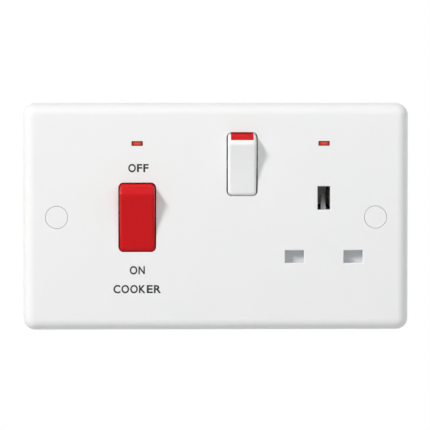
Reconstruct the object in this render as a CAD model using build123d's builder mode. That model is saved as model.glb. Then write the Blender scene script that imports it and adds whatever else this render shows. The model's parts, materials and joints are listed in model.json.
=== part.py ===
from build123d import *
import os
from math import atan2, cos, degrees, radians, sin, sqrt, tan

os.makedirs("parts", exist_ok=True)

# Wall plate with a red cooker switch, a switched three-pin socket and two neon indicators.
# Millimetres. X runs right, Z up and Y into the wall. The origin is the plate's centre on the wall.
# Both rockers are drawn switched on, with their lower ends pressed in.

# Front plate
plate_width = 146.0
plate_height = 86.0
plate_projection = 9.5
plate_corner = 4.6
edge_radius = 4.0
draft_angle = 2.0
face_thickness = 3.0
rim_thickness = 2.6
rim_inner_corner = 2.4

# Fixing screws and the caps over them
fixing_spacing = 120.6
fixing_shank_radius = 1.75
fixing_neck_radius = 1.5
fixing_hole_radius = 2.1
fixing_head_radius = 3.3
fixing_head_height = 2.4
fixing_seat_depth = 5.0
fixing_reach = 20.0
fixing_boss_wall = 1.7
head_recess_radius = 3.8
cap_radius = 4.15
cap_thickness = 1.4
cap_skirt_wall = 0.8
cap_skirt_depth = 0.9
cap_gap = 0.08
cap_ring_gap = 0.15
driver_slot_width = 0.9
driver_slot_depth = 1.0

# Places on the face
cooker_x = -29.85
cooker_z = 0.0
switch_x = 9.8
switch_z = 20.05
outlet_x = 40.8
earth_slot_z = 7.2
pin_spacing = 22.23
neon_z = 27.9

# Pin slots and the plug's pins
pole_slot_width = 7.2
pole_slot_height = 4.8
earth_slot_width = 4.8
earth_slot_height = 8.9
slot_edge = 0.35
pole_pin_length = 17.7
earth_pin_length = 22.7

# Rockers
cooker_window_width = 14.3
cooker_window_height = 26.3
switch_window_width = 11.8
switch_window_height = 24.2
window_corner = 1.9
rocker_side_gap = 0.5
rocker_end_gap = 0.5
rocker_edge = 1.2
stem_room_inset = 0.4
rocker_rise = 2.4
rocker_throw = 11.0
rocker_wall = 1.6
cooker_ridge_radius = 3.5
switch_ridge_radius = 2.2
ridge_turn = 28.0
dish_turn = 4.5
pivot_depth = 6.5
trunnion_radius = 1.6
trunnion_gap = 0.05
barrel_radius = 2.6
cross_rib = 1.8
cheek_thickness = 2.2
cheek_length = 10.0
cheek_gap = 0.2

# Red marker in the end of the socket rocker
marker_width = 8.6
marker_thickness = 0.8
marker_start = 55.0
marker_end = 84.0
marker_gap = 0.02

# Stems, plungers and their springs
stem_radius = 2.5
stem_reach = 4.6
stem_bore_depth = 3.4
cooker_stem_offset = 3.3
plunger_radius = 1.5
plunger_gap = 0.05
plunger_reach = 7.0
plunger_tail = 2.0
plunger_tip = 0.5
plunger_coils = 3
plunger_coil_radius = 1.15
spring_wire = 0.4
spring_end_gap = 0.05

# See-saw contacts
lever_throw = 7.5
lever_gap = 0.06
lever_thickness = 1.6
lever_lift = 0.3
lever_width = 4.6
cooker_contact_arm = 11.5
switch_contact_arm = 9.0
lever_tail = 7.0
lever_end = 1.7
fulcrum_radius = 0.9
fulcrum_gap = 0.05
tip_thickness = 0.6
tip_length = 2.6
tip_width = 3.6
tip_gap = 0.05

# Conductor strips
strip_depth = 8.6
strip_thickness = 1.2
strip_width = 4.4
fulcrum_post = 1.3

# Terminal blocks
block_width = 11.0
block_height = 11.0
block_front = 5.0
block_depth = 10.6
block_offset = 7.5
terminal_row_z = 23.0
earth_block_x = -7.5
earth_block_z = -24.0
cable_radius = 3.3
cable_setback = 4.6
cable_depth = 9.5
clamp_radius = 2.0
clamp_gap = 0.03
clamp_spacing = 5.2
clamp_length = 4.2
cable_entry = 7.6
well_width = 6.0
well_height = 10.0
hold_post_width = 3.0
hold_post_height = 2.2
hold_post_offset = 3.0

# Pin clips
clip_thickness = 0.9
clip_opening = 4.3
clip_flare = 1.1
clip_flare_length = 1.9
clip_bend = 0.8
clip_mouth_gap = 0.7
pole_clip_width = 6.6
earth_clip_height = 7.0
pin_tip_gap = 0.1

# Earth strip
earth_strip_depth = 11.5
earth_strip_drop = 1.6
earth_strip_width = 3.8

# Line strip
line_strip_x = 49.0
line_strip_width = 3.6

# Shutter and its return spring
shutter_gap = 0.1
shutter_thickness = 2.0
shutter_width = 30.8
shutter_cover = 0.55
shutter_foot = 1.75
shutter_travel = 5.5
neck_width = 6.0
ramp_width = 2.2
ramp_tip_width = 1.0
ramp_height = 5.7
ramp_tip = 1.3
ramp_lead = 0.4
rail_gap = 0.15
rail_thickness = 1.2
rail_height = 18.0
stop_width = 2.6
stop_height = 1.2
stop_offset = 4.9
spring_seat_width = 4.0
spring_seat_height = 1.6
spring_peg_radius = 1.1
spring_peg_length = 1.8
shutter_coil_radius = 1.6
shutter_coils = 4
shutter_spring_wire = 0.5
shutter_spring_length = 9.3
spring_slot_gap = 0.25

# Neon indicators
lens_width = 4.3
lens_height = 1.85
lens_corner = 0.3
lens_gap = 0.05
lens_recess = 0.1
lens_flange = 1.1
lens_flange_thickness = 1.2
lamp_radius = 1.9
lamp_length = 11.0
lamp_gap = 0.05
lamp_end = 0.9
lamp_rib_offset = 4.6
lamp_rib_thickness = 1.2
lamp_rib_height = 6.0
resistor_radius = 0.9
resistor_length = 3.6
resistor_offset = 8.4
resistor_rib_thickness = 1.0
resistor_rib_height = 3.8
lead_width = 0.5
lead_drop_offset = 11.6
cooker_return_offset = 8.0
socket_return_offset = 12.5
socket_return_depth = 4.0
lead_hole_gap = 0.2

# Link strips between the cooker's supply and the socket
link_width = 3.0
link_thickness = 1.0
link_gap = 0.1
line_link_z = -19.2
neutral_link_z = -27.0
line_link_end_z = 0.0
neutral_link_end_x = 15.0

# Rear housing
housing_left = -51.0
housing_right = 58.5
housing_bottom = -32.0
housing_top = 33.5
housing_depth = 18.0
housing_corner = 3.0
housing_back_edge = 1.0
core_left = 3.0
core_depth = 2.0
core_rib = 2.4
core_corner = 1.2
lug_notch_depth = 5.0
lug_notch_height = 16.0
platform_left = 23.5
platform_top = 14.0
pocket_gap = 0.15
cavity_gap = 0.6
housing_screw_places = [(-47.0, 14.0), (-47.0, -14.0), (-8.0, 24.0), (28.0, 18.0), (19.5, -12.0)]
housing_screw_radius = 1.4
housing_screw_hole = 1.7
housing_screw_head_radius = 2.8
housing_screw_head_height = 2.0
housing_screw_seat = 4.0
housing_screw_bite = 5.0
housing_screw_boss = 3.2
head_hole_gap = 0.4
pilot_gap = 0.03

# How near two lengths count as equal when an edge is picked
length_match = 0.001

# Levels through the depth, wall at zero and the room at negative Y
face_y = -plate_projection
inner_y = face_y + face_thickness
pivot_y = face_y + pivot_depth
fixing_seat_y = face_y + fixing_seat_depth
lever_front_y = pivot_y + plunger_reach + lever_gap
fulcrum_y = lever_front_y + lever_thickness + lever_lift
floor_y = strip_depth + strip_thickness
earth_floor_y = earth_strip_depth + strip_thickness
block_back = block_front + block_depth
cable_y = block_front + cable_setback
shutter_front_y = inner_y + shutter_gap
shutter_back_y = shutter_front_y + shutter_thickness
platform_y = shutter_back_y + shutter_gap
lens_back_y = inner_y + lens_flange_thickness
lamp_y = lens_back_y + lamp_radius
lamp_rib_y = lamp_y + lamp_radius
link_front_y = -link_gap - link_thickness

# Places that follow from the others
fixing_places = [(-fixing_spacing / 2, 0), (fixing_spacing / 2, 0)]
line_x = outlet_x + pin_spacing / 2
neutral_x = outlet_x - pin_spacing / 2
pole_slot_z = earth_slot_z - pin_spacing
line_stem_x = cooker_x - cooker_stem_offset
neutral_stem_x = cooker_x + cooker_stem_offset
line_block_x = cooker_x - block_offset
neutral_block_x = cooker_x + block_offset
load_z = cooker_z + terminal_row_z
supply_z = cooker_z - terminal_row_z
terminal_places = [
    (line_block_x, load_z, 1),
    (neutral_block_x, load_z, 1),
    (line_block_x, supply_z, -1),
    (neutral_block_x, supply_z, -1),
    (earth_block_x, earth_block_z, -1),
]
cooker_rocker_width = cooker_window_width - 2 * rocker_side_gap
switch_rocker_width = switch_window_width - 2 * rocker_side_gap
cooker_window_radius = sqrt((cooker_window_height / 2) ** 2 + pivot_depth**2)
switch_window_radius = sqrt((switch_window_height / 2) ** 2 + pivot_depth**2)
cooker_rocker_radius = cooker_window_radius - rocker_end_gap
switch_rocker_radius = switch_window_radius - rocker_end_gap
rocker_corner = window_corner - rocker_end_gap
line_run_z = switch_z + switch_contact_arm
earth_run_z = earth_slot_z - earth_strip_drop
shutter_top_z = pole_slot_z + pole_slot_height / 2 + shutter_cover
shutter_bottom_z = pole_slot_z - pole_slot_height / 2 - shutter_foot
ramp_bottom_z = earth_slot_z - earth_slot_height / 2 - ramp_lead
ramp_top_z = ramp_bottom_z + ramp_height
ramp_back_y = shutter_front_y + ramp_height + ramp_tip
spring_top_z = shutter_bottom_z - spring_seat_height
spring_bottom_z = spring_top_z - shutter_spring_length
spring_y = shutter_front_y + shutter_coil_radius + shutter_spring_wire
cheek_reach = cheek_gap + cheek_thickness


def facing(y):
    """Plane at depth y that looks out into the room, with X across and Z up."""
    return Plane.XZ.offset(-y)


def tipped(x, y, z, angle):
    """Side plane through a pivot: local X points out to the room and local Y up, tipped by angle."""
    turn = radians(angle)
    return Plane(origin=(x, y, z), x_dir=(0, -cos(turn), -sin(turn)), z_dir=(-1, 0, 0))


def along_stem(x, z):
    """Plane through a rocker's pivot that looks out along its tipped stem."""
    turn = radians(rocker_throw)
    return Plane(origin=(x, pivot_y, z), x_dir=(1, 0, 0), z_dir=(0, -cos(turn), -sin(turn)))


def box_between(x_range, z_range, front, back, mode=Mode.ADD):
    """Rectangular block or cut between two depths."""
    middle = ((x_range[0] + x_range[1]) / 2, (z_range[0] + z_range[1]) / 2)
    with BuildSketch(facing(front)) as section:
        with Locations(middle):
            Rectangle(abs(x_range[1] - x_range[0]), abs(z_range[1] - z_range[0]))
    extrude(section.sketch, amount=front - back, mode=mode)


def box_round(x, z, width, height, front, back, mode=Mode.ADD):
    """Rectangular block or cut centred on x and z."""
    box_between((x - width / 2, x + width / 2), (z - height / 2, z + height / 2), front, back, mode)


def discs(places, radius, front, back, mode=Mode.ADD):
    """Round posts or holes between two depths."""
    with BuildSketch(facing(front)) as section:
        with Locations(*places):
            Circle(radius)
    extrude(section.sketch, amount=front - back, mode=mode)


def clamp_places(x, z):
    """Centres of the two clamping screws of a terminal block."""
    return [(x, z - clamp_spacing / 2), (x, z + clamp_spacing / 2)]


def hold_post_place(x):
    """Side of a cooker block on which the plate's hold-down post stands."""
    return x + (hold_post_offset if x > cooker_x else -hold_post_offset)


def keep(piece, name):
    """Label a finished piece and write it."""
    piece.label = name
    export_step(piece, f"parts/{name}.step")


def window_disc(x, z, width, radius):
    """Cutter whose end walls are round about the rocker's pivot."""
    with BuildPart() as disc:
        with BuildSketch(Plane.YZ.offset(x)):
            with Locations((pivot_y, z)):
                Circle(radius)
        extrude(amount=width / 2, both=True)
        fillet(disc.edges(), radius=window_corner)
    return disc.part


def bearing_cheeks(x, z, window_width):
    """Two ribs beside a window with slots, open to the rear, for the rocker's trunnions."""
    middle = window_width / 2 + cheek_gap + cheek_thickness / 2
    for side in (-1, 1):
        box_round(x + side * middle, z, cheek_thickness, cheek_length, 0, inner_y)
    with BuildSketch(Plane.YZ.offset(x)) as slot:
        with Locations((pivot_y, z)):
            Circle(trunnion_radius + trunnion_gap)
        with Locations((pivot_y / 2, z)):
            Rectangle(-pivot_y, 2 * (trunnion_radius + trunnion_gap))
    extrude(slot.sketch, amount=window_width / 2 + cheek_reach, both=True, mode=Mode.SUBTRACT)


def holding_rib(x, thickness, height, radius):
    """Rib behind the face with a round-ended slot that takes a lamp or a resistor."""
    box_round(x, neon_z, thickness, height, lamp_rib_y, inner_y)
    with BuildSketch(Plane.YZ.offset(x)) as slot:
        with Locations((lamp_y, neon_z)):
            Circle(radius + lamp_gap)
        with Locations(((lamp_y + lamp_rib_y) / 2, neon_z)):
            Rectangle(lamp_rib_y - lamp_y, 2 * (radius + lamp_gap))
    extrude(slot.sketch, amount=thickness / 2, both=True, mode=Mode.SUBTRACT)


# Front plate
cooker_window = window_disc(cooker_x, cooker_z, cooker_window_width, cooker_window_radius)
switch_window = window_disc(switch_x, switch_z, switch_window_width, switch_window_radius)

with BuildPart() as front_plate:
    with BuildSketch(facing(0)):
        RectangleRounded(plate_width, plate_height, plate_corner)
    extrude(amount=plate_projection, taper=draft_angle)
    fillet(front_plate.faces().sort_by(Axis.Y)[0].edges(), radius=edge_radius)
    with BuildSketch(facing(0)):
        hollow_width = plate_width - 2 * rim_thickness
        hollow_height = plate_height - 2 * rim_thickness
        RectangleRounded(hollow_width, hollow_height, rim_inner_corner)
    extrude(amount=-inner_y, mode=Mode.SUBTRACT)

    # Pin slots, with a small round on their front edges
    for x in (line_x, neutral_x):
        box_round(x, pole_slot_z, pole_slot_width, pole_slot_height, face_y, inner_y, Mode.SUBTRACT)
    box_round(outlet_x, earth_slot_z, earth_slot_width, earth_slot_height, face_y, inner_y, Mode.SUBTRACT)
    face = front_plate.faces().filter_by(Axis.Y).sort_by(Axis.Y)[0]
    fillet([edge for wire in face.inner_wires() for edge in wire.edges()], radius=slot_edge)

    # Rocker windows and the bearings beside them
    add(cooker_window, mode=Mode.SUBTRACT)
    add(switch_window, mode=Mode.SUBTRACT)
    bearing_cheeks(cooker_x, cooker_z, cooker_window_width)
    bearing_cheeks(switch_x, switch_z, switch_window_width)

    # Neon windows, lamp ribs and resistor ribs
    for x, side in ((cooker_x, 1), (outlet_x, -1)):
        with BuildSketch(facing(face_y)):
            with Locations((x, neon_z)):
                RectangleRounded(lens_width, lens_height, lens_corner)
        extrude(amount=face_y - inner_y, mode=Mode.SUBTRACT)
        for offset in (-lamp_rib_offset, lamp_rib_offset):
            holding_rib(x + offset, lamp_rib_thickness, lamp_rib_height, lamp_radius)
        resistor_x = x + side * resistor_offset
        holding_rib(resistor_x, resistor_rib_thickness, resistor_rib_height, resistor_radius)

    # Posts that hold the terminal blocks down in their pockets
    for x, z, outward in terminal_places[:4]:
        box_round(hold_post_place(x), z, hold_post_width, hold_post_height, block_front, inner_y)
    box_round(earth_block_x, earth_block_z, hold_post_width, hold_post_height, block_front, inner_y)

    # Bosses, pilot holes and the stepped holes of the fixing screws
    discs(fixing_places, head_recess_radius + fixing_boss_wall, 0, inner_y)
    discs(fixing_places, fixing_hole_radius, 0, face_y, Mode.SUBTRACT)
    discs(fixing_places, head_recess_radius, fixing_seat_y, face_y, Mode.SUBTRACT)
    discs(fixing_places, cap_radius + cap_ring_gap, face_y + cap_thickness, face_y, Mode.SUBTRACT)
    discs(housing_screw_places, housing_screw_boss, 0, inner_y)
    discs(housing_screw_places, housing_screw_radius + pilot_gap, 0, -housing_screw_bite, Mode.SUBTRACT)
keep(front_plate.part, "front_plate")


def block_pocket(x, z, outward):
    """Pocket, cable entry and open screw well for one terminal block."""
    width = block_width + 2 * pocket_gap
    height = block_height + 2 * pocket_gap
    box_round(x, z, width, height, 0, block_back, Mode.SUBTRACT)
    edge_z = housing_top if outward > 0 else housing_bottom
    with BuildSketch(Plane.XY.offset(edge_z)) as entry:
        with Locations((x, cable_y)):
            Rectangle(cable_entry, cable_entry)
    extrude(entry.sketch, amount=z - edge_z, mode=Mode.SUBTRACT)
    box_round(x, z, well_width, well_height, block_back, housing_depth, Mode.SUBTRACT)


def trunnion_keepers(x, z, window_width):
    """Noses that close the bearing slots behind the trunnions."""
    middle = window_width / 2 + cheek_gap + cheek_thickness / 2
    nose_y = pivot_y + trunnion_radius + trunnion_gap
    for side in (-1, 1):
        box_round(x + side * middle, z, cheek_thickness, 2 * trunnion_radius, 0, nose_y)


def core_pocket(x_range, z_range):
    """Shallow round-cornered pocket in the back that keeps the wall even."""
    middle = ((x_range[0] + x_range[1]) / 2, (z_range[0] + z_range[1]) / 2)
    with BuildSketch(facing(housing_depth)) as section:
        with Locations(middle):
            RectangleRounded(x_range[1] - x_range[0], z_range[1] - z_range[0], core_corner)
    extrude(section.sketch, amount=core_depth, mode=Mode.SUBTRACT)


# Rear housing
with BuildPart() as rear_housing:
    with BuildSketch(facing(0)):
        with Locations(((housing_left + housing_right) / 2, (housing_bottom + housing_top) / 2)):
            RectangleRounded(housing_right - housing_left, housing_top - housing_bottom, housing_corner)
    extrude(amount=-housing_depth)
    chamfer(rear_housing.faces().sort_by(Axis.Y)[-1].edges(), length=housing_back_edge)
    with BuildSketch(facing(0)) as platform:
        with Locations(((platform_left + housing_right) / 2, (housing_bottom + platform_top) / 2)):
            Rectangle(housing_right - platform_left, platform_top - housing_bottom)
        fillet(platform.vertices().group_by(Axis.Y)[0].sort_by(Axis.X)[-1], radius=housing_corner)
    extrude(amount=-platform_y)
    notch_x = (housing_right - lug_notch_depth, housing_right)
    notch_z = (-lug_notch_height / 2, lug_notch_height / 2)
    box_between(notch_x, notch_z, platform_y, housing_depth, Mode.SUBTRACT)

    # Room under the two rockers for the stems, the see-saw contacts and their strips
    lever_half = lever_width / 2 + cavity_gap
    for x, z, arm in (
        (line_stem_x, cooker_z, cooker_contact_arm),
        (neutral_stem_x, cooker_z, cooker_contact_arm),
        (switch_x, switch_z, switch_contact_arm),
    ):
        reach = arm + lever_end + cavity_gap
        room_z = (z - lever_tail - cavity_gap, z + reach)
        box_between((x - lever_half, x + lever_half), room_z, 0, floor_y, Mode.SUBTRACT)
    cooker_half = cooker_window_width / 2 - stem_room_inset
    stem_room = stem_radius + stem_reach * tan(radians(rocker_throw)) + cavity_gap
    box_round(cooker_x, cooker_z, 2 * cooker_half, 2 * stem_room, 0, lever_front_y, Mode.SUBTRACT)
    switch_room = switch_window_width - 2 * stem_room_inset
    box_round(switch_x, switch_z, switch_room, 2 * stem_room, 0, lever_front_y, Mode.SUBTRACT)
    trunnion_keepers(cooker_x, cooker_z, cooker_window_width)
    trunnion_keepers(switch_x, switch_z, switch_window_width)

    # Terminal blocks and the strips that lead to the see-saw contacts
    for x, z, outward in terminal_places:
        block_pocket(x, z, outward)
    strip_half = strip_width / 2 + pocket_gap
    for x in (line_stem_x, neutral_stem_x):
        box_between((x - strip_half, x + strip_half), (supply_z, load_z), 0, floor_y, Mode.SUBTRACT)

    # Pin clips
    pole_room = clip_opening / 2 + clip_thickness + clip_flare + pocket_gap
    pole_floor = face_y + pole_pin_length + pin_tip_gap + clip_thickness
    earth_floor = face_y + earth_pin_length + pin_tip_gap + clip_thickness
    for x in (line_x, neutral_x):
        box_round(x, pole_slot_z, pole_slot_width, 2 * pole_room, platform_y, pole_floor, Mode.SUBTRACT)
    clip_room = (2 * pole_room, earth_slot_height)
    box_round(outlet_x, earth_slot_z, *clip_room, platform_y, earth_floor, Mode.SUBTRACT)

    # Channels for the strips of the socket
    neutral_run = (neutral_link_z - strip_half, neutral_link_z + strip_half)
    neutral_leg = (neutral_x - strip_half, neutral_x + strip_half)
    box_between(neutral_leg, (neutral_run[0], pole_slot_z), platform_y, floor_y, Mode.SUBTRACT)
    box_between((neutral_link_end_x - strip_half, neutral_x), neutral_run, platform_y, floor_y, Mode.SUBTRACT)
    line_half = line_strip_width / 2 + pocket_gap
    line_run = (line_run_z - line_half, line_run_z + line_half)
    line_leg = (line_strip_x - line_half, line_strip_x + line_half)
    switch_leg = (switch_x - strip_half, switch_x + strip_half)
    box_between(line_leg, (pole_slot_z, line_run[1]), platform_y, floor_y, Mode.SUBTRACT)
    box_between((switch_leg[0], line_leg[1]), line_run, 0, floor_y, Mode.SUBTRACT)
    box_between(switch_leg, (line_link_end_z - strip_half, switch_z), 0, floor_y, Mode.SUBTRACT)
    earth_half = earth_strip_width / 2 + pocket_gap
    earth_run = (earth_run_z - earth_half, earth_run_z + earth_half)
    earth_leg = (earth_block_x - earth_half, earth_block_x + earth_half)
    box_between((earth_leg[0], outlet_x), earth_run, platform_y, earth_floor_y, Mode.SUBTRACT)
    box_between(earth_leg, (earth_block_z, earth_run[1]), 0, earth_floor_y, Mode.SUBTRACT)

    # Guide rails, stops, ramp slot and spring slot of the shutter
    rail_middle = shutter_width / 2 + rail_gap + rail_thickness / 2
    rail_z = shutter_top_z - rail_height / 2
    for side in (-1, 1):
        rail_x = outlet_x + side * rail_middle
        stop_x = outlet_x + side * stop_offset
        stop_z = shutter_top_z + shutter_gap + stop_height / 2
        box_round(rail_x, rail_z, rail_thickness, rail_height, platform_y, shutter_front_y)
        box_round(stop_x, stop_z, stop_width, stop_height, platform_y, shutter_front_y)
    ramp_half = ramp_width / 2 + rail_gap
    ramp_room_x = (outlet_x - ramp_half, outlet_x + ramp_half)
    ramp_room_z = (ramp_bottom_z - shutter_travel - shutter_thickness, ramp_top_z)
    box_between(ramp_room_x, ramp_room_z, platform_y, ramp_back_y + shutter_gap, Mode.SUBTRACT)
    spring_slot = max(spring_seat_width / 2, shutter_coil_radius + shutter_spring_wire) + spring_slot_gap
    spring_floor_y = spring_y + shutter_coil_radius + shutter_spring_wire + spring_slot_gap
    spring_room_x = (outlet_x - spring_slot, outlet_x + spring_slot)
    spring_room_z = (spring_bottom_z - spring_end_gap, shutter_bottom_z)
    box_between(spring_room_x, spring_room_z, platform_y, spring_floor_y, Mode.SUBTRACT)

    # Screw holes with deep recesses for the heads, core pockets in the back, and the hole for a lamp lead
    head_hole = housing_screw_head_radius + head_hole_gap
    discs(housing_screw_places, housing_screw_hole, 0, housing_depth, Mode.SUBTRACT)
    discs(housing_screw_places, head_hole, housing_screw_seat, housing_depth, Mode.SUBTRACT)
    core_boss = head_hole + core_rib
    upper_screw_x, lower_screw_x = (place[0] for place in housing_screw_places[3:])
    lower_row = (housing_bottom + core_rib, earth_run_z - core_rib)
    upper_row = (earth_run_z, housing_top - core_rib)
    core_right = housing_right - lug_notch_depth - core_rib
    core_pocket((core_left, lower_screw_x - core_boss), lower_row)
    core_pocket((lower_screw_x + core_boss, outlet_x - core_rib), lower_row)
    core_pocket((outlet_x, core_right), lower_row)
    core_pocket((core_left, upper_screw_x - core_boss), upper_row)
    core_pocket((upper_screw_x + core_boss, core_right), upper_row)
    lead_hole = lead_width + 2 * lead_hole_gap
    lead_x = outlet_x + socket_return_offset
    box_round(lead_x, neon_z, lead_hole, lead_hole, 0, socket_return_depth, Mode.SUBTRACT)
keep(rear_housing.part, "rear_housing")


def make_rocker(place, width, radius, ridge_radius, stem_offsets):
    """Hollow rocker with a dished face and ends round about its trunnions, with a stem for each plunger."""
    x, z = place
    side = tipped(x, pivot_y, z, rocker_throw)
    front = pivot_depth + rocker_rise
    turn = radians(ridge_turn)
    dish = radians(dish_turn)
    ridge_out = front + ridge_radius * (cos(turn) - cos(dish))
    ridge_up = sqrt(radius**2 - ridge_out**2)
    flat_up = ridge_up - ridge_radius * (sin(turn) + sin(dish))
    ridge_middle = (front - ridge_radius * cos(dish), flat_up + ridge_radius * sin(dish))
    dish_front = front - flat_up * tan(dish / 2)
    ridge_angle = degrees(atan2(ridge_up, ridge_out))
    inner_front = front - rocker_wall
    inner_radius = radius - rocker_wall
    inner_up = sqrt(inner_radius**2 - inner_front**2)
    inner_angle = degrees(atan2(inner_up, inner_front))

    def is_front_side(edge):
        place = side.to_local_coords(edge.center())
        return abs(place.X - dish_front) < length_match and abs(abs(place.Z) - width / 2) < length_match

    with BuildPart() as rocker:
        with BuildSketch(side):
            with BuildLine():
                ThreePointArc((front, -flat_up), (dish_front, 0), (front, flat_up))
                CenterArc(ridge_middle, ridge_radius, -dish_turn, dish_turn + ridge_turn)
                CenterArc((0, 0), radius, ridge_angle, 90 - ridge_angle)
                Line((0, radius), (0, -radius))
                CenterArc((0, 0), radius, -90, 90 - ridge_angle)
                lower_middle = (ridge_middle[0], -ridge_middle[1])
                CenterArc(lower_middle, ridge_radius, -ridge_turn, dish_turn + ridge_turn)
            make_face()
        extrude(amount=width / 2, both=True)
        circles = rocker.edges().filter_by(GeomType.CIRCLE)
        fillet([edge for edge in circles if abs(edge.radius - radius) < length_match], radius=rocker_corner)
        fillet([edge for edge in rocker.edges() if is_front_side(edge)], radius=rocker_edge)
        with BuildSketch(side):
            with BuildLine():
                Line((inner_front, -inner_up), (inner_front, inner_up))
                CenterArc((0, 0), inner_radius, inner_angle, 90 - inner_angle)
                Line((0, inner_radius), (0, -inner_radius))
                CenterArc((0, 0), inner_radius, -90, 90 - inner_angle)
            make_face()
        extrude(amount=width / 2 - rocker_wall, both=True, mode=Mode.SUBTRACT)
        with BuildSketch(side):
            with Locations((inner_front / 2, 0)):
                Rectangle(inner_front, cross_rib)
            Circle(barrel_radius)
        extrude(amount=width / 2, both=True)
        with BuildSketch(side):
            Circle(trunnion_radius)
        extrude(amount=width / 2 + rocker_side_gap + cheek_reach - cheek_gap, both=True)
        stem_end = along_stem(x, z).offset(-stem_reach)
        with BuildSketch(stem_end):
            with Locations(*[(offset, 0) for offset in stem_offsets]):
                Circle(stem_radius)
        extrude(amount=stem_reach + inner_front)
        with BuildSketch(stem_end):
            with Locations(*[(offset, 0) for offset in stem_offsets]):
                Circle(plunger_radius + plunger_gap)
        extrude(amount=stem_reach + stem_bore_depth, mode=Mode.SUBTRACT)
    return rocker.part


def marker_sector(radius, depth):
    """Curved tile in the upper end of the socket rocker."""
    start = radians(marker_start)
    end = radians(marker_end)
    inner = radius - depth
    with BuildLine() as outline:
        CenterArc((0, 0), radius, marker_start, marker_end - marker_start)
        Line((radius * cos(end), radius * sin(end)), (inner * cos(end), inner * sin(end)))
        CenterArc((0, 0), inner, marker_start, marker_end - marker_start)
        Line((inner * cos(start), inner * sin(start)), (radius * cos(start), radius * sin(start)))
    make_face(outline.edges())


# Rockers
cooker_place = (cooker_x, cooker_z)
switch_place = (switch_x, switch_z)
cooker_stems = (-cooker_stem_offset, cooker_stem_offset)
with BuildPart() as cooker_rocker:
    cooker_sizes = (cooker_rocker_width, cooker_rocker_radius, cooker_ridge_radius)
    add(make_rocker(cooker_place, *cooker_sizes, cooker_stems))
keep(cooker_rocker.part, "cooker_rocker")

switch_side = tipped(switch_x, pivot_y, switch_z, rocker_throw)
with BuildPart() as socket_rocker:
    switch_sizes = (switch_rocker_width, switch_rocker_radius, switch_ridge_radius)
    add(make_rocker(switch_place, *switch_sizes, (0,)))
    with BuildSketch(switch_side):
        marker_sector(switch_rocker_radius, marker_thickness + marker_gap)
    extrude(amount=marker_width / 2, both=True, mode=Mode.SUBTRACT)
keep(socket_rocker.part, "socket_rocker")

with BuildPart() as socket_on_marker:
    with BuildSketch(switch_side):
        marker_sector(switch_rocker_radius, marker_thickness)
    extrude(amount=marker_width / 2 - marker_gap, both=True)
keep(socket_on_marker.part, "socket_on_marker")


def make_plunger(x, z):
    """Blunt plunger that slides in a rocker's stem."""
    side = tipped(x, pivot_y, z, rocker_throw)
    nose = plunger_radius - plunger_tip - plunger_reach
    with BuildPart() as plunger:
        with BuildSketch(side):
            with BuildLine():
                Polyline(
                    (-plunger_reach, 0),
                    (-plunger_tail, 0),
                    (-plunger_tail, plunger_radius),
                    (nose, plunger_radius),
                    (-plunger_reach, plunger_tip),
                    close=True,
                )
            make_face()
        revolve(axis=Axis(side.origin, side.x_dir))
    return plunger.part


def make_coil(base, direction, length, coils, radius, wire):
    """Helical spring of square wire, standing on base."""
    height = length - wire
    with BuildPart() as coil:
        with BuildLine() as path:
            start = Vector(*base) + Vector(*direction) * (wire / 2)
            Helix(height / coils, height, radius, center=start, direction=direction)
        with BuildSketch(Plane(origin=path.line @ 0, z_dir=path.line % 0)):
            Rectangle(wire, wire)
        sweep(path=path.line, is_frenet=True)
    return coil.part


def make_lever(x, z, contact_arm):
    """See-saw contact that rocks on a round fulcrum, with a contact tip near its upper end."""
    side = tipped(x, fulcrum_y, z, -lever_throw)
    upper = contact_arm + lever_end
    with BuildPart() as lever:
        with BuildSketch(side):
            with Locations((lever_lift + lever_thickness / 2, (upper - lever_tail) / 2)):
                Rectangle(lever_thickness, upper + lever_tail)
            Circle(fulcrum_radius + fulcrum_gap, mode=Mode.SUBTRACT)
        extrude(amount=lever_width / 2, both=True)
        with BuildSketch(side):
            with Locations((lever_lift - tip_thickness / 2, contact_arm)):
                Rectangle(tip_thickness, tip_length)
        extrude(amount=tip_width / 2, both=True)
    return lever.part


# Plungers, their springs and the see-saw contacts
for name, x, z, contact_arm in (
    ("line", line_stem_x, cooker_z, cooker_contact_arm),
    ("neutral", neutral_stem_x, cooker_z, cooker_contact_arm),
    ("socket", switch_x, switch_z, switch_contact_arm),
):
    stem = along_stem(x, z)
    spring_base = stem.offset(spring_end_gap - plunger_tail).origin
    spring_length = plunger_tail + stem_bore_depth - 2 * spring_end_gap
    keep(make_plunger(x, z), f"{name}_plunger")
    coil_sizes = (spring_length, plunger_coils, plunger_coil_radius, spring_wire)
    keep(make_coil(spring_base, stem.z_dir, *coil_sizes), f"{name}_plunger_spring")
    keep(make_lever(x, z, contact_arm), f"{name}_contact_lever")


def terminal_block(x, z, outward):
    """Brass block with a cable hole from above or below and two clamping screw holes from behind."""
    box_round(x, z, block_width, block_height, block_front, block_back)
    with BuildSketch(Plane.XY.offset(z + outward * block_height / 2)) as entry:
        with Locations((x, cable_y)):
            Circle(cable_radius)
    extrude(entry.sketch, amount=-outward * cable_depth, mode=Mode.SUBTRACT)
    discs(clamp_places(x, z), clamp_radius + clamp_gap, cable_y, block_back, Mode.SUBTRACT)


def strip(x_range, z_range):
    """Flat conductor on the floor of its channel."""
    box_between(x_range, z_range, strip_depth, floor_y)


def fulcrum(x, z):
    """Round-topped post on a strip, on which a see-saw contact rocks."""
    with BuildSketch(Plane.YZ.offset(x)) as post:
        with Locations((fulcrum_y, z)):
            Circle(fulcrum_radius)
        with Locations(((fulcrum_y + strip_depth) / 2, z)):
            Rectangle(strip_depth - fulcrum_y, fulcrum_post)
    extrude(post.sketch, amount=strip_width / 2, both=True)


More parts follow.
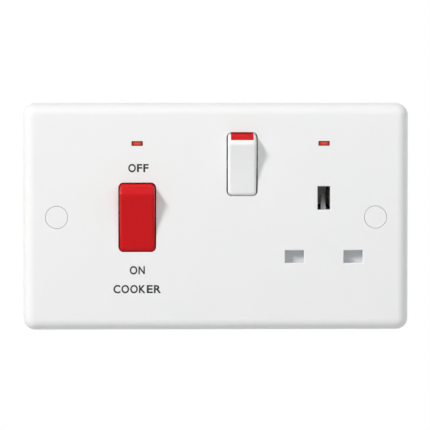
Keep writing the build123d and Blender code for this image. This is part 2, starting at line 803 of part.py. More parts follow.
def fixed_tip(x, z, contact_arm):
    """Contact tip on a strip, parallel to the closed see-saw contact."""
    side = tipped(x, fulcrum_y, z, -lever_throw)
    turn = radians(lever_throw)
    start = tip_thickness - lever_lift + tip_gap
    end = (strip_depth + strip_thickness / 2 - fulcrum_y - contact_arm * sin(turn)) / cos(turn)
    with BuildSketch(side) as tip:
        with Locations((-(start + end) / 2, contact_arm)):
            Rectangle(end - start, tip_length)
    extrude(tip.sketch, amount=tip_width / 2, both=True)


# Cooker terminals
half = strip_width / 2
for name, stem_x, block_x in (
    ("line", line_stem_x, line_block_x),
    ("neutral", neutral_stem_x, neutral_block_x),
):
    with BuildPart() as supply:
        terminal_block(block_x, supply_z, -1)
        strip((stem_x - half, stem_x + half), (supply_z + block_height / 2, cooker_z + fulcrum_post))
        fulcrum(stem_x, cooker_z)
    keep(supply.part, f"{name}_supply_terminal")
    with BuildPart() as load:
        terminal_block(block_x, load_z, 1)
        contact_z = cooker_z + cooker_contact_arm - tip_length
        strip((stem_x - half, stem_x + half), (contact_z, load_z - block_height / 2))
        fixed_tip(stem_x, cooker_z, cooker_contact_arm)
    keep(load.part, f"{name}_load_terminal")

with BuildPart() as socket_supply_strip:
    strip((switch_x - half, switch_x + half), (line_link_end_z - half, switch_z + fulcrum_post))
    fulcrum(switch_x, switch_z)
keep(socket_supply_strip.part, "socket_supply_strip")


def clip_loop(x, z, across, tip_depth, half_width):
    """Sprung clip: two leaves with flared mouths, joined behind the pin's tip, extruded along across."""
    plane = Plane(origin=(x, 0, z), x_dir=(0, 1, 0), z_dir=across)
    leaf = (clip_opening + clip_thickness) / 2
    mouth = platform_y + clip_mouth_gap
    throat = mouth + clip_flare_length
    back = tip_depth + pin_tip_gap + clip_thickness / 2
    with BuildSketch(plane) as section:
        with BuildLine():
            FilletPolyline(
                (mouth, leaf + clip_flare),
                (throat, leaf),
                (back, leaf),
                (back, -leaf),
                (throat, -leaf),
                (mouth, -leaf - clip_flare),
                radius=clip_bend,
            )
        trace(line_width=clip_thickness)
    extrude(section.sketch, amount=half_width, both=True)


# Pin clips with their strips
pole_tip_y = face_y + pole_pin_length
earth_tip_y = face_y + earth_pin_length
line_half_width = line_strip_width / 2

with BuildPart() as line_contact:
    clip_loop(line_x, pole_slot_z, (1, 0, 0), pole_tip_y, pole_clip_width / 2)
    line_strip = (line_strip_x - line_half_width, line_strip_x + line_half_width)
    strip(line_strip, (pole_slot_z, line_run_z + line_half_width))
    strip((switch_x - half, line_strip_x), (line_run_z - line_half_width, line_run_z + line_half_width))
    fixed_tip(switch_x, switch_z, switch_contact_arm)
keep(line_contact.part, "line_contact")

with BuildPart() as neutral_contact:
    clip_loop(neutral_x, pole_slot_z, (1, 0, 0), pole_tip_y, pole_clip_width / 2)
    strip((neutral_x - half, neutral_x + half), (neutral_link_z - half, pole_slot_z))
    strip((neutral_link_end_x - half, neutral_x), (neutral_link_z - half, neutral_link_z + half))
keep(neutral_contact.part, "neutral_contact")

earth_half_width = earth_strip_width / 2
earth_leaf_x = outlet_x - (clip_opening + clip_thickness) / 2
with BuildPart() as earth_contact:
    clip_loop(outlet_x, earth_slot_z, (0, 0, -1), earth_tip_y, earth_clip_height / 2)
    earth_strip_x = (earth_block_x - earth_half_width, earth_block_x + earth_half_width)
    earth_strip_z = (earth_run_z - earth_half_width, earth_run_z + earth_half_width)
    block_edge_z = earth_block_z + block_height / 2
    box_between((earth_strip_x[0], earth_leaf_x), earth_strip_z, earth_strip_depth, earth_floor_y)
    box_between(earth_strip_x, (block_edge_z, earth_run_z), earth_strip_depth, earth_floor_y)
    terminal_block(earth_block_x, earth_block_z, -1)
keep(earth_contact.part, "earth_contact")

# Shutter
with BuildPart() as shutter:
    shutter_x = (outlet_x - shutter_width / 2, outlet_x + shutter_width / 2)
    neck_x = (outlet_x - neck_width / 2, outlet_x + neck_width / 2)
    box_between(shutter_x, (shutter_bottom_z, shutter_top_z), shutter_front_y, shutter_back_y)
    box_between(neck_x, (shutter_top_z, ramp_bottom_z), shutter_front_y, shutter_back_y)
    with BuildSketch(Plane.YZ.offset(outlet_x)):
        with BuildLine():
            Polyline(
                (shutter_front_y, ramp_bottom_z - shutter_thickness),
                (shutter_front_y, ramp_bottom_z),
                (shutter_front_y + ramp_height, ramp_top_z),
                (ramp_back_y, ramp_top_z),
                (ramp_back_y, ramp_top_z - ramp_tip),
                (shutter_back_y, ramp_bottom_z - shutter_thickness),
                close=True,
            )
        make_face()
    extrude(amount=ramp_width / 2, both=True)
    for side in (-1, 1):
        with BuildSketch(facing(shutter_front_y)):
            with BuildLine():
                Polyline(
                    (outlet_x + side * ramp_width / 2, ramp_bottom_z),
                    (outlet_x + side * ramp_width, ramp_top_z),
                    (outlet_x + side * ramp_tip_width / 2, ramp_top_z),
                    close=True,
                )
            make_face()
        extrude(amount=shutter_front_y - ramp_back_y, mode=Mode.SUBTRACT)
    seat_x = (outlet_x - spring_seat_width / 2, outlet_x + spring_seat_width / 2)
    seat_back_y = spring_y + shutter_coil_radius
    box_between(seat_x, (spring_top_z, shutter_bottom_z), shutter_front_y, seat_back_y)
    with BuildSketch(Plane.XY.offset(spring_top_z)):
        with Locations((outlet_x, spring_y)):
            Circle(spring_peg_radius)
    extrude(amount=-spring_peg_length)
keep(shutter.part, "shutter")

spring_foot = (outlet_x, spring_y, spring_bottom_z)
spring_length = shutter_spring_length - spring_end_gap
coil_sizes = (spring_length, shutter_coils, shutter_coil_radius, shutter_spring_wire)
keep(make_coil(spring_foot, (0, 0, 1), *coil_sizes), "shutter_spring")


# Link strips from the supply terminals to the socket, bent back at both ends
link_half = link_width / 2
bend_half = link_thickness / 2
with BuildPart() as line_link_strip:
    line_link_run = (line_link_z - link_half, line_link_z + link_half)
    line_link_rise = (switch_x - link_half, switch_x + link_half)
    line_link_top = line_link_end_z + bend_half
    box_between((line_block_x - bend_half, line_link_rise[1]), line_link_run, link_front_y, -link_gap)
    box_between(line_link_rise, (line_link_z, line_link_top), link_front_y, -link_gap)
    box_round(line_block_x, line_link_z, link_thickness, link_width, link_front_y, block_front)
    box_round(switch_x, line_link_end_z, link_width, link_thickness, link_front_y, strip_depth)
keep(line_link_strip.part, "line_link_strip")

with BuildPart() as neutral_link_strip:
    neutral_link_run = (neutral_link_z - link_half, neutral_link_z + link_half)
    neutral_link_ends = (neutral_block_x - bend_half, neutral_link_end_x + bend_half)
    box_between(neutral_link_ends, neutral_link_run, link_front_y, -link_gap)
    box_round(neutral_block_x, neutral_link_z, link_thickness, link_width, link_front_y, block_front)
    box_round(neutral_link_end_x, neutral_link_z, link_thickness, link_width, link_front_y, strip_depth)
keep(neutral_link_strip.part, "neutral_link_strip")


def bent_lead(start_x, end_x, end_y):
    """Square lead that leaves a lamp's end and turns back to its terminal."""
    half_lead = lead_width / 2
    lead_z = (neon_z - half_lead, neon_z + half_lead)
    box_between((start_x, end_x), lead_z, lamp_y - half_lead, lamp_y + half_lead)
    box_round(end_x, neon_z, lead_width, lead_width, lamp_y - half_lead, end_y)


# Neon indicators: lens, lamp, resistor with its leads, and return lead
for name, x, side, drop_y, return_offset, return_y in (
    ("cooker", cooker_x, 1, block_front, cooker_return_offset, block_front),
    ("socket", outlet_x, -1, strip_depth, socket_return_offset, socket_return_depth),
):
    with BuildPart() as lens:
        with BuildSketch(facing(face_y + lens_recess)):
            with Locations((x, neon_z)):
                RectangleRounded(lens_width - 2 * lens_gap, lens_height - 2 * lens_gap, lens_corner)
        extrude(amount=face_y + lens_recess - inner_y)
        flange = (lens_width + 2 * lens_flange, lens_height + 2 * lens_flange)
        box_round(x, neon_z, *flange, inner_y, lens_back_y)
    keep(lens.part, f"{name}_neon_lens")

    with BuildPart() as lamp:
        with BuildSketch(Plane.YZ.offset(x)):
            with Locations((lamp_y, neon_z)):
                Circle(lamp_radius - lamp_gap)
        extrude(amount=lamp_length / 2, both=True)
        chamfer(lamp.edges().filter_by(GeomType.CIRCLE), length=lamp_end)
    keep(lamp.part, f"{name}_neon_lamp")

    with BuildPart() as resistor:
        with BuildSketch(Plane.YZ.offset(x + side * resistor_offset)):
            with Locations((lamp_y, neon_z)):
                Circle(resistor_radius)
        extrude(amount=resistor_length / 2, both=True)
        bent_lead(x + side * lamp_length / 2, x + side * lead_drop_offset, drop_y)
    keep(resistor.part, f"{name}_neon_resistor")

    with BuildPart() as lead:
        bent_lead(x - side * lamp_length / 2, x - side * return_offset, return_y)
    keep(lead.part, f"{name}_neon_lead")

# Fixing screws, housing screws and terminal screws
with BuildPart() as fixing_screws:
    discs(fixing_places, fixing_neck_radius, fixing_seat_y, 0)
    discs(fixing_places, fixing_shank_radius, 0, fixing_reach)
    discs(fixing_places, fixing_head_radius, fixing_seat_y - fixing_head_height, fixing_seat_y)
    slot_front = fixing_seat_y - fixing_head_height
    for x, z in fixing_places:
        slot_size = (2 * fixing_head_radius, driver_slot_width)
        box_round(x, z, *slot_size, slot_front, slot_front + driver_slot_depth, Mode.SUBTRACT)
keep(fixing_screws.part, "fixing_screws")

with BuildPart() as housing_screws:
    head_back = housing_screw_seat + housing_screw_head_height
    discs(housing_screw_places, housing_screw_radius, -housing_screw_bite, housing_screw_seat)
    discs(housing_screw_places, housing_screw_head_radius, housing_screw_seat, head_back)
    for x, z in housing_screw_places:
        slot_size = (2 * housing_screw_head_radius, driver_slot_width)
        box_round(x, z, *slot_size, head_back - driver_slot_depth, head_back, Mode.SUBTRACT)
keep(housing_screws.part, "housing_screws")

with BuildPart() as terminal_screws:
    clamp_front = cable_y + cable_radius
    clamp_back = clamp_front + clamp_length
    for x, z, outward in terminal_places:
        discs(clamp_places(x, z), clamp_radius, clamp_front, clamp_back)
        for screw_x, screw_z in clamp_places(x, z):
            slot_size = (2 * clamp_radius, driver_slot_width)
            box_round(screw_x, screw_z, *slot_size, clamp_back - driver_slot_depth, clamp_back, Mode.SUBTRACT)
keep(terminal_screws.part, "terminal_screws")

# Caps over the fixing screws
for name, place in zip(("left", "right"), fixing_places):
    with BuildPart() as cap:
        skirt_back = face_y + cap_thickness + cap_skirt_depth
        discs([place], cap_radius, face_y, face_y + cap_thickness)
        skirt_radius = head_recess_radius - cap_gap
        discs([place], skirt_radius, face_y + cap_thickness, skirt_back)
        discs([place], skirt_radius - cap_skirt_wall, face_y + cap_thickness, skirt_back, Mode.SUBTRACT)
    keep(cap.part, f"{name}_screw_cap")
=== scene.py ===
import bpy
import json
import math
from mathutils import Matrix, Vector

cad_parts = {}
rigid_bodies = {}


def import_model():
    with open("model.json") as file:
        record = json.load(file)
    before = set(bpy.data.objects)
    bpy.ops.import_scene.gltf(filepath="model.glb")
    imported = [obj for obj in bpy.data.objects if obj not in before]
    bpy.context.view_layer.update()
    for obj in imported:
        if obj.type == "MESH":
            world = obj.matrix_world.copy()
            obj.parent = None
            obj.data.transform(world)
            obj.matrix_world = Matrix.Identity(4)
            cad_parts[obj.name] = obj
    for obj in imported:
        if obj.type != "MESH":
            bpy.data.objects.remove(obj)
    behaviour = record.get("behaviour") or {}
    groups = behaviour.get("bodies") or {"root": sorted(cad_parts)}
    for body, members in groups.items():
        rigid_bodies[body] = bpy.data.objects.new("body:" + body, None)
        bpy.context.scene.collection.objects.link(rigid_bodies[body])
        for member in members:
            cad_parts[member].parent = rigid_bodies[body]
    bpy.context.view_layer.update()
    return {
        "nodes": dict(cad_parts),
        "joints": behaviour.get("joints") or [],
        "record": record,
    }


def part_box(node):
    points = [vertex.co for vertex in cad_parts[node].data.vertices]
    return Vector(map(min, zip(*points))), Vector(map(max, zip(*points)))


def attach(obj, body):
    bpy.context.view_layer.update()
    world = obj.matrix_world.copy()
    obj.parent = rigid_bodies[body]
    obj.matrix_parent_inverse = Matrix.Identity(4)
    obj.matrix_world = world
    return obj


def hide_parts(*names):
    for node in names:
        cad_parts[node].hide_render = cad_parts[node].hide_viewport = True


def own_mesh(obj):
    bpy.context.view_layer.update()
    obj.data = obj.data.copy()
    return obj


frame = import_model()
print("frame loaded,", len(frame["nodes"]), "nodes")

mm = 0.001

# places that the other pieces are set out from
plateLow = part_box("front_plate")[0]
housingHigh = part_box("rear_housing")[1]
screwLow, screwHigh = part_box("fixing_screws")
mounts = frame["record"]["mounts"]
faceY = next(m["pos_m"][1] for m in mounts if m["name"] == "plug_outlet")
cables = {m["name"]: Vector(m["pos_m"]) for m in mounts if m["kind"] == "bore"}
tips = {j["child"]: Vector(j["pos_m"]) for j in frame["joints"] if j["type"] == "hinge"}
slides = {j["child"]: j for j in frame["joints"] if j["type"] == "slide"}


# small helpers, the same few clicks every time
def deselectAll():
    bpy.ops.object.select_all(action="DESELECT")


def pick(obj):
    deselectAll()
    obj.select_set(True)
    bpy.context.view_layer.objects.active = obj


def settle(obj):
    pick(obj)
    bpy.ops.object.transform_apply(location=True, rotation=True, scale=True)


def bakeModifiers(obj):
    pick(obj)
    for modifier in list(obj.modifiers):
        bpy.ops.object.modifier_apply(modifier=modifier.name)


def startChoosing(kind):
    bpy.ops.mesh.select_mode(type=kind)
    bpy.ops.mesh.select_all(action="DESELECT")
    bpy.ops.object.mode_set(mode="OBJECT")


def chooseVerts(obj, test):
    startChoosing("VERT")
    for vert in obj.data.vertices:
        vert.select = test(vert.co)
    bpy.ops.object.mode_set(mode="EDIT")


def chooseEdges(obj, test):
    startChoosing("EDGE")
    verts = obj.data.vertices
    for edge in obj.data.edges:
        edge.select = all(test(verts[i].co) for i in edge.vertices)
    bpy.ops.object.mode_set(mode="EDIT")


def chooseFaces(obj, test):
    startChoosing("FACE")
    for face in obj.data.polygons:
        face.select = test(face.normal)
    bpy.ops.object.mode_set(mode="EDIT")


def cleanMesh(obj, gap=0.002 * mm):
    pick(obj)
    bpy.ops.object.mode_set(mode="EDIT")
    bpy.ops.mesh.select_all(action="SELECT")
    bpy.ops.mesh.remove_doubles(threshold=gap)
    bpy.ops.mesh.normals_make_consistent(inside=False)
    bpy.ops.object.mode_set(mode="OBJECT")


def joinAll(objects):
    pick(objects[0])
    for obj in objects:
        obj.select_set(True)
    if len(objects) > 1:
        bpy.ops.object.join()
    return objects[0]


# the other object is used up
def combine(obj, other, operation):
    boolean = obj.modifiers.new("combine", "BOOLEAN")
    boolean.operation = operation
    boolean.object = other
    bakeModifiers(obj)
    pick(other)
    bpy.ops.object.delete()


def softenEdges(obj, width, steps):
    soften = obj.modifiers.new("soften", "BEVEL")
    soften.width = width
    soften.segments = steps
    soften.limit_method = "ANGLE"


def wear(obj, material):
    obj.data.materials.clear()
    obj.data.materials.append(material)


# shader nodes that come up again and again
def newMaterial(name):
    material = bpy.data.materials.new(name)
    material.use_nodes = True
    return material, material.node_tree.nodes, material.node_tree.links


def addMath(nodes, operation):
    node = nodes.new("ShaderNodeMath")
    node.operation = operation
    return node


def addColourMix(nodes):
    mixer = nodes.new("ShaderNodeMix")
    mixer.data_type = "RGBA"
    return mixer


def addRamp(nodes, start, end, startValue=0, endValue=1, kind="SMOOTHSTEP"):
    ramp = nodes.new("ShaderNodeMapRange")
    ramp.interpolation_type = kind
    values = {"From Min": start, "From Max": end, "To Min": startValue, "To Max": endValue}
    for socket, value in values.items():
        ramp.inputs[socket].default_value = value
    return ramp


# shader groups that several finishes share
surfaceOutputs = [
    ("Colour", "NodeSocketColor", None),
    ("Roughness", "NodeSocketFloat", None),
    ("Normal", "NodeSocketVector", None),
]


def newGroup(name, inputRows):
    group = bpy.data.node_groups.new(name, "ShaderNodeTree")
    for direction, rows in (("INPUT", inputRows), ("OUTPUT", surfaceOutputs)):
        for socketName, kind, value in rows:
            socket = group.interface.new_socket(name=socketName, in_out=direction, socket_type=kind)
            if value is not None:
                socket.default_value = value
    return group


# plastic from a mould, slow streaks left by the flowing resin and a fine orange peel
skinTexture = {
    "flowDetail": 4,
    "flowDistortion": 0.8,
    "flowRange": (0.2, 0.8),        # part of the noise that the streaks run over
    "peelDetail": 2,
}


def buildMouldedSkin():
    group = newGroup("mouldedSkin", [
        ("Colour", "NodeSocketColor", (0.8, 0.8, 0.8, 1)),
        ("Flow Colour", "NodeSocketColor", (0.75, 0.75, 0.75, 1)),
        ("Flow Scale", "NodeSocketFloat", 40),
        ("Roughness", "NodeSocketFloat", 0.3),
        ("Roughness Spread", "NodeSocketFloat", 0.1),
        ("Peel Scale", "NodeSocketFloat", 900),
        ("Peel Height", "NodeSocketFloat", 0.1),
    ])
    nodes, links = group.nodes, group.links
    inlet = nodes.new("NodeGroupInput")
    outlet = nodes.new("NodeGroupOutput")
    coords = nodes.new("ShaderNodeTexCoord")
    flow = nodes.new("ShaderNodeTexNoise")
    flow.inputs["Detail"].default_value = skinTexture["flowDetail"]
    flow.inputs["Distortion"].default_value = skinTexture["flowDistortion"]
    spread = addRamp(nodes, *skinTexture["flowRange"])
    mixer = addColourMix(nodes)
    shift = addMath(nodes, "MULTIPLY_ADD")
    peel = nodes.new("ShaderNodeTexNoise")
    peel.inputs["Detail"].default_value = skinTexture["peelDetail"]
    lift = addMath(nodes, "MULTIPLY")
    bump = nodes.new("ShaderNodeBump")
    bump.inputs["Strength"].default_value = 1
    bump.inputs["Distance"].default_value = mm
    links.new(coords.outputs["Object"], flow.inputs["Vector"])
    links.new(coords.outputs["Object"], peel.inputs["Vector"])
    links.new(inlet.outputs["Flow Scale"], flow.inputs["Scale"])
    links.new(inlet.outputs["Peel Scale"], peel.inputs["Scale"])
    links.new(flow.outputs["Fac"], spread.inputs["Value"])
    links.new(spread.outputs["Result"], mixer.inputs["Factor"])
    links.new(inlet.outputs["Colour"], mixer.inputs["A"])
    links.new(inlet.outputs["Flow Colour"], mixer.inputs["B"])
    links.new(spread.outputs["Result"], shift.inputs[0])
    links.new(inlet.outputs["Roughness Spread"], shift.inputs[1])
    links.new(inlet.outputs["Roughness"], shift.inputs[2])
    links.new(peel.outputs["Fac"], lift.inputs[0])
    links.new(inlet.outputs["Peel Height"], lift.inputs[1])
    links.new(lift.outputs["Value"], bump.inputs["Height"])
    links.new(mixer.outputs["Result"], outlet.inputs["Colour"])
    links.new(shift.outputs["Value"], outlet.inputs["Roughness"])
    links.new(bump.outputs["Normal"], outlet.inputs["Normal"])
    return group


# drawn or pressed metal, marks that run one way and blotches of tarnish
grainTexture = {
    "grainDetail": 4,
    "stainDetail": 6,
    "stainRoughness": 0.65,
    "stainRange": (0.42, 0.72),     # part of the noise where tarnish comes in
}


def buildMetalGrain():
    group = newGroup("metalGrain", [
        ("Colour", "NodeSocketColor", (0.7, 0.7, 0.7, 1)),
        ("Tarnish", "NodeSocketColor", (0.4, 0.4, 0.4, 1)),
        ("Tarnish Amount", "NodeSocketFloat", 0.5),
        ("Tarnish Scale", "NodeSocketFloat", 250),
        ("Grain Scale", "NodeSocketVector", (200, 2500, 200)),
        ("Roughness", "NodeSocketFloat", 0.25),
        ("Roughness Spread", "NodeSocketFloat", 0.2),
        ("Grain Height", "NodeSocketFloat", 0.05),
    ])
    nodes, links = group.nodes, group.links
    inlet = nodes.new("NodeGroupInput")
    outlet = nodes.new("NodeGroupOutput")
    coords = nodes.new("ShaderNodeTexCoord")
    stretch = nodes.new("ShaderNodeVectorMath")
    stretch.operation = "MULTIPLY"
    grain = nodes.new("ShaderNodeTexNoise")
    grain.inputs["Scale"].default_value = 1
    grain.inputs["Detail"].default_value = grainTexture["grainDetail"]
    stain = nodes.new("ShaderNodeTexNoise")
    stain.inputs["Detail"].default_value = grainTexture["stainDetail"]
    stain.inputs["Roughness"].default_value = grainTexture["stainRoughness"]
    cover = addRamp(nodes, *grainTexture["stainRange"], kind="LINEAR")
    amount = addMath(nodes, "MULTIPLY")
    mixer = addColourMix(nodes)
    shift = addMath(nodes, "MULTIPLY_ADD")
    lift = addMath(nodes, "MULTIPLY")
    bump = nodes.new("ShaderNodeBump")
    bump.inputs["Distance"].default_value = mm
    links.new(coords.outputs["Object"], stretch.inputs[0])
    links.new(inlet.outputs["Grain Scale"], stretch.inputs[1])
    links.new(stretch.outputs["Vector"], grain.inputs["Vector"])
    links.new(coords.outputs["Object"], stain.inputs["Vector"])
    links.new(inlet.outputs["Tarnish Scale"], stain.inputs["Scale"])
    links.new(stain.outputs["Fac"], cover.inputs["Value"])
    links.new(cover.outputs["Result"], amount.inputs[0])
    links.new(inlet.outputs["Tarnish Amount"], amount.inputs[1])
    links.new(amount.outputs["Value"], mixer.inputs["Factor"])
    links.new(inlet.outputs["Colour"], mixer.inputs["A"])
    links.new(inlet.outputs["Tarnish"], mixer.inputs["B"])
    links.new(grain.outputs["Fac"], shift.inputs[0])
    links.new(inlet.outputs["Roughness Spread"], shift.inputs[1])
    links.new(inlet.outputs["Roughness"], shift.inputs[2])
    links.new(grain.outputs["Fac"], lift.inputs[0])
    links.new(inlet.outputs["Grain Height"], lift.inputs[1])
    links.new(lift.outputs["Value"], bump.inputs["Height"])
    links.new(mixer.outputs["Result"], outlet.inputs["Colour"])
    links.new(shift.outputs["Value"], outlet.inputs["Roughness"])
    links.new(bump.outputs["Normal"], outlet.inputs["Normal"])
    return group


mouldedSkin = buildMouldedSkin()
metalGrain = buildMetalGrain()


def groupedMaterial(name, group, settings, shaderSettings):
    material, nodes, links = newMaterial(name)
    shader = nodes["Principled BSDF"]
    surface = nodes.new("ShaderNodeGroup")
    surface.node_tree = group
    for socket, value in settings.items():
        if surface.inputs[socket].type == "RGBA":
            value = (*value, 1)
        surface.inputs[socket].default_value = value
    for socket, value in shaderSettings.items():
        shader.inputs[socket].default_value = value
    links.new(surface.outputs["Colour"], shader.inputs["Base Color"])
    links.new(surface.outputs["Roughness"], shader.inputs["Roughness"])
    links.new(surface.outputs["Normal"], shader.inputs["Normal"])
    return material


whiteUrea = groupedMaterial("whiteUrea", mouldedSkin, {
    "Colour": (0.875, 0.875, 0.87),
    "Flow Colour": (0.865, 0.867, 0.864),
    "Flow Scale": 28,
    "Roughness": 0.27,
    "Roughness Spread": 0.06,
    "Peel Scale": 700,
    "Peel Height": 0.006,
}, {"Specular IOR Level": 0.22})

redGloss = groupedMaterial("redGloss", mouldedSkin, {
    "Colour": (0.62, 0.002, 0.006),
    "Flow Colour": (0.58, 0.002, 0.004),
    "Flow Scale": 60,
    "Roughness": 0.07,
    "Roughness Spread": 0.05,
    "Peel Scale": 800,
    "Peel Height": 0.003,
}, {"Specular IOR Level": 0.17})

darkPhenolic = groupedMaterial("darkPhenolic", mouldedSkin, {
    "Colour": (0.075, 0.074, 0.073),
    "Flow Colour": (0.1, 0.096, 0.092),
    "Flow Scale": 120,
    "Roughness": 0.42,
    "Roughness Spread": 0.18,
    "Peel Scale": 1500,
    "Peel Height": 0.05,
}, {"Specular IOR Level": 0.4})

greyShutterPlastic = groupedMaterial("greyShutterPlastic", mouldedSkin, {
    "Colour": (0.63, 0.645, 0.665),
    "Flow Colour": (0.58, 0.595, 0.615),
    "Flow Scale": 90,
    "Roughness": 0.35,
    "Roughness Spread": 0.15,
    "Peel Scale": 1500,
    "Peel Height": 0.02,
}, {"Specular IOR Level": 0.4})

naturalNylon = groupedMaterial("naturalNylon", mouldedSkin, {
    "Colour": (0.8, 0.77, 0.68),
    "Flow Colour": (0.74, 0.7, 0.6),
    "Flow Scale": 200,
    "Roughness": 0.4,
    "Roughness Spread": 0.15,
    "Peel Scale": 2000,
    "Peel Height": 0.02,
}, {"Specular IOR Level": 0.4})

resistorLacquer = groupedMaterial("resistorLacquer", mouldedSkin, {
    "Colour": (0.62, 0.5, 0.32),
    "Flow Colour": (0.5, 0.38, 0.22),
    "Flow Scale": 500,
    "Roughness": 0.3,
    "Roughness Spread": 0.2,
    "Peel Scale": 2500,
    "Peel Height": 0.03,
}, {"Specular IOR Level": 0.5})

pressedBrass = groupedMaterial("pressedBrass", metalGrain, {
    "Colour": (0.78, 0.58, 0.26),
    "Tarnish": (0.5, 0.3, 0.12),
    "Tarnish Amount": 0.55,
    "Tarnish Scale": 300,
    "Grain Scale": (600, 600, 4000),
    "Roughness": 0.2,
    "Roughness Spread": 0.25,
    "Grain Height": 0.03,
}, {"Metallic": 1})

oxidisedBrass = groupedMaterial("oxidisedBrass", metalGrain, {
    "Colour": (0.64, 0.62, 0.59),
    "Tarnish": (0.48, 0.47, 0.45),
    "Tarnish Amount": 0.8,
    "Tarnish Scale": 260,
    "Grain Scale": (600, 600, 4000),
    "Roughness": 0.42,
    "Roughness Spread": 0.25,
    "Grain Height": 0.03,
}, {"Metallic": 1})

zincPlate = groupedMaterial("zincPlate", metalGrain, {
    "Colour": (0.66, 0.67, 0.68),
    "Tarnish": (0.45, 0.45, 0.44),
    "Tarnish Amount": 0.6,
    "Tarnish Scale": 900,
    "Grain Scale": (1500, 4000, 1500),
    "Roughness": 0.24,
    "Roughness Spread": 0.22,
    "Grain Height": 0.03,
}, {"Metallic": 1})

springSteel = groupedMaterial("springSteel", metalGrain, {
    "Colour": (0.5, 0.5, 0.52),
    "Tarnish": (0.32, 0.31, 0.3),
    "Tarnish Amount": 0.5,
    "Tarnish Scale": 1500,
    "Grain Scale": (3000, 3000, 3000),
    "Roughness": 0.22,
    "Roughness Spread": 0.2,
    "Grain Height": 0.02,
}, {"Metallic": 1})

tinnedWire = groupedMaterial("tinnedWire", metalGrain, {
    "Colour": (0.72, 0.72, 0.72),
    "Tarnish": (0.5, 0.5, 0.5),
    "Tarnish Amount": 0.5,
    "Tarnish Scale": 1200,
    "Grain Scale": (2000, 2000, 2000),
    "Roughness": 0.3,
    "Roughness Spread": 0.2,
    "Grain Height": 0.02,
}, {"Metallic": 1})

printInk = groupedMaterial("printInk", mouldedSkin, {
    "Colour": (0.022, 0.022, 0.024),
    "Flow Colour": (0.036, 0.036, 0.038),
    "Flow Scale": 900,
    "Roughness": 0.45,
    "Roughness Spread": 0.2,
    "Peel Scale": 4000,
    "Peel Height": 0.01,
}, {"Specular IOR Level": 0.4})


# neon lens, red plastic; the neon lamp's glow behind it is painted on: a painted glow (emission) and a
# lighter base colour over all but the rim, which is left darker as painted rim shade
neonLens = {
    "edgeColour": (0.1, 0.006, 0.006),
    "paintedLitBody": (0.4, 0.024, 0.016),
    "paintedGlowColour": (0.36, 0.036, 0.018),
    "paintedGlowWidth": (0.6 * mm, 2.3 * mm),      # half widths where the glow starts to fade and is gone
    "paintedGlowHeight": (0.1 * mm, 0.95 * mm),
    "rippleScale": 1800,                   # moulded prisms on the back of the lens
    "rippleHeight": 0.01 * mm,
    "roughness": 0.18,
    "specular": 0.3,
}


def lensMaterial(name, centre):
    material, nodes, links = newMaterial(name)
    shader = nodes["Principled BSDF"]
    coords = nodes.new("ShaderNodeTexCoord")
    place = nodes.new("ShaderNodeMapping")
    place.vector_type = "TEXTURE"
    place.inputs["Location"].default_value = centre
    fromMiddle = nodes.new("ShaderNodeVectorMath")
    fromMiddle.operation = "ABSOLUTE"
    split = nodes.new("ShaderNodeSeparateXYZ")
    glow = addMath(nodes, "MULTIPLY")
    links.new(coords.outputs["Object"], place.inputs["Vector"])
    links.new(place.outputs["Vector"], fromMiddle.inputs[0])
    links.new(fromMiddle.outputs["Vector"], split.inputs["Vector"])
    for index, (axis, lit) in enumerate((("X", "paintedGlowWidth"), ("Z", "paintedGlowHeight"))):
        fade = addRamp(nodes, *neonLens[lit], 1, 0)
        links.new(split.outputs[axis], fade.inputs["Value"])
        links.new(fade.outputs["Result"], glow.inputs[index])
    # painted light and shade: the base colour runs from a dark rim to a lighter middle by the painted glow
    # mask
    paintedRimAndGlowTone = addColourMix(nodes)
    paintedRimAndGlowTone.inputs["A"].default_value = (*neonLens["edgeColour"], 1)
    paintedRimAndGlowTone.inputs["B"].default_value = (*neonLens["paintedLitBody"], 1)
    # painted glow: emission in the middle of the lens stands in for the neon lamp's light
    light = addColourMix(nodes)
    light.inputs["A"].default_value = (0, 0, 0, 1)
    light.inputs["B"].default_value = (*neonLens["paintedGlowColour"], 1)
    ripple = nodes.new("ShaderNodeTexNoise")
    ripple.inputs["Scale"].default_value = neonLens["rippleScale"]
    bump = nodes.new("ShaderNodeBump")
    bump.inputs["Distance"].default_value = neonLens["rippleHeight"]
    links.new(coords.outputs["Object"], ripple.inputs["Vector"])
    links.new(glow.outputs["Value"], paintedRimAndGlowTone.inputs["Factor"])
    links.new(glow.outputs["Value"], light.inputs["Factor"])
    links.new(paintedRimAndGlowTone.outputs["Result"], shader.inputs["Base Color"])
    links.new(light.outputs["Result"], shader.inputs["Emission Color"])
    links.new(ripple.outputs["Fac"], bump.inputs["Height"])
    links.new(bump.outputs["Normal"], shader.inputs["Normal"])
    shader.inputs["Emission Strength"].default_value = 1
    shader.inputs["Roughness"].default_value = neonLens["roughness"]
    shader.inputs["Specular IOR Level"].default_value = neonLens["specular"]
    return material


# lamp envelope, thin glass with a faint warm tint and seed marks
lampGlass = {
    "tint": (0.98, 0.9, 0.84),
    "seedScale": 1500,
    "seedHeight": 0.01 * mm,
    "roughness": 0.05,
    "ior": 1.47,
}


def lampMaterial():
    material, nodes, links = newMaterial("lampGlass")
    shader = nodes["Principled BSDF"]
    coords = nodes.new("ShaderNodeTexCoord")
    seeds = nodes.new("ShaderNodeTexNoise")
    seeds.inputs["Scale"].default_value = lampGlass["seedScale"]
    bump = nodes.new("ShaderNodeBump")
    bump.inputs["Distance"].default_value = lampGlass["seedHeight"]
    links.new(coords.outputs["Object"], seeds.inputs["Vector"])
    links.new(seeds.outputs["Fac"], bump.inputs["Height"])
    links.new(bump.outputs["Normal"], shader.inputs["Normal"])
    shader.inputs["Base Color"].default_value = (*lampGlass["tint"], 1)
    shader.inputs["Roughness"].default_value = lampGlass["roughness"]
    shader.inputs["IOR"].default_value = lampGlass["ior"]
    shader.inputs["Transmission Weight"].default_value = 1
    return material


